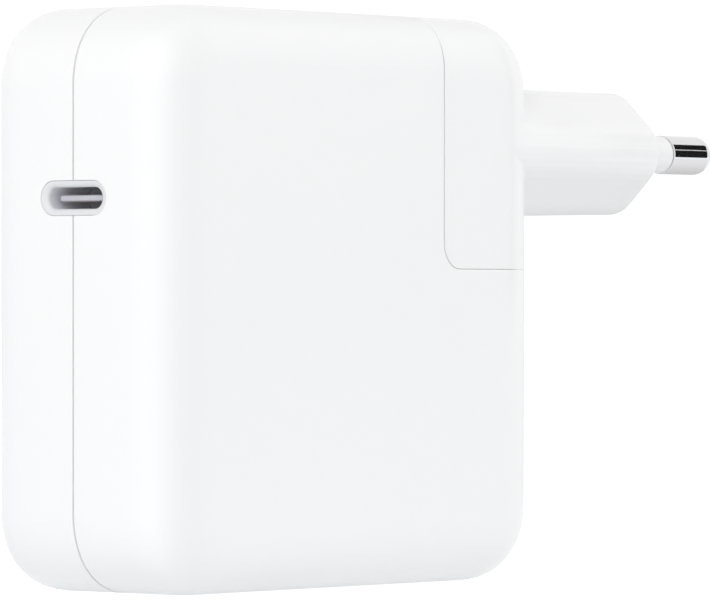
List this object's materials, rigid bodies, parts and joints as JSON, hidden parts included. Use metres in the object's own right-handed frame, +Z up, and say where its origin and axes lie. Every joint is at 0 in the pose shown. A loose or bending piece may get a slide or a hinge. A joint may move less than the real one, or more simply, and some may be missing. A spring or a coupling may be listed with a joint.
{
  "type": "laptop power adapter",
  "caption": "Rounded square laptop power adapter with an oval charging port and a slide-off corner plug head that carries round mains pins.",
  "frame": {"origin": "middle of the narrow face that the adapter stands on", "axes": "+X from the port side to the plug side, +Y from the front face to the back face, +Z up"},
  "size_m": [0.1052, 0.029, 0.067],
  "materials": {
    "housing": "smooth satin-gloss white moulded plastic",
    "port_rim": "smooth pale lavender-grey moulded plastic",
    "receptacle_metal": "satin nickel-plated steel",
    "tongue_plastic": "matt grey plastic",
    "gold": "gold-plated contacts",
    "circuit_board": "green solder mask",
    "aluminium": "plain sheet",
    "insulator": "black film",
    "thermal_pad": "soft grey-blue pad",
    "ferrite": "matt dark ceramic",
    "black_plastic": "moulded",
    "winding_tape": "copper winding under yellow tape",
    "copper_wire": "lacquered copper wire",
    "capacitor_sleeve": "can in a dark shrunk sleeve",
    "yellow_plastic": "moulded box",
    "blue_ceramic": "dipped disc",
    "brown_plastic": "shrunk sleeve",
    "inlet_plastic": "moulded white plastic",
    "nickel_contact": "nickel-plated brass",
    "stud_steel": "turned and stamped steel",
    "brass": "plain brass",
    "plug_pin_metal": "polished nickel plating",
    "sleeve_plastic": "smooth white plastic"
  },
  "bodies": {
    "adapter": {"front_shell": "housing", "back_shell": "housing", "port_rim": "port_rim", "usb_c_shell": "receptacle_metal", "usb_c_tongue": "tongue_plastic", "usb_c_contacts": "gold", "usb_board": "circuit_board", "main_board": "circuit_board", "front_heat_spreader": "aluminium", "back_heat_spreader": "aluminium", "front_insulator": "insulator", "back_insulator": "insulator", "thermal_pad": "thermal_pad", "transformer_core": "ferrite", "transformer_bobbin": "black_plastic", "transformer_winding": "winding_tape", "choke_core": "ferrite", "choke_windings": "copper_wire", "bulk_capacitors": "capacitor_sleeve", "x_capacitor": "yellow_plastic", "y_capacitor": "blue_ceramic", "bridge_rectifier": "black_plastic", "fuse": "brown_plastic", "switch_transistor": "black_plastic", "output_capacitors": "aluminium", "output_inductor": "ferrite", "controller_chip": "black_plastic", "optocoupler": "black_plastic", "inlet_housing": "inlet_plastic", "inlet_pin_front": "nickel_contact", "inlet_pin_back": "nickel_contact", "locking_stud": "stud_steel"},
    "plug_head": {"plug_head_shell": "housing", "plug_head_cover": "housing", "slot_plate": "stud_steel", "pin_carrier": "inlet_plastic", "contact_socket_front": "brass", "contact_socket_back": "brass", "contact_link_front": "brass", "contact_link_back": "brass", "plug_pin_front": "plug_pin_metal", "plug_pin_back": "plug_pin_metal", "pin_sleeve_front": "sleeve_plastic", "pin_sleeve_back": "sleeve_plastic"}
  },
  "joints": [
    {"name": "plug_head_slide", "type": "slide", "parent": "adapter", "child": "plug_head", "axis": [1, 0, 0], "range_m": [0, 0.03]}
  ]
}
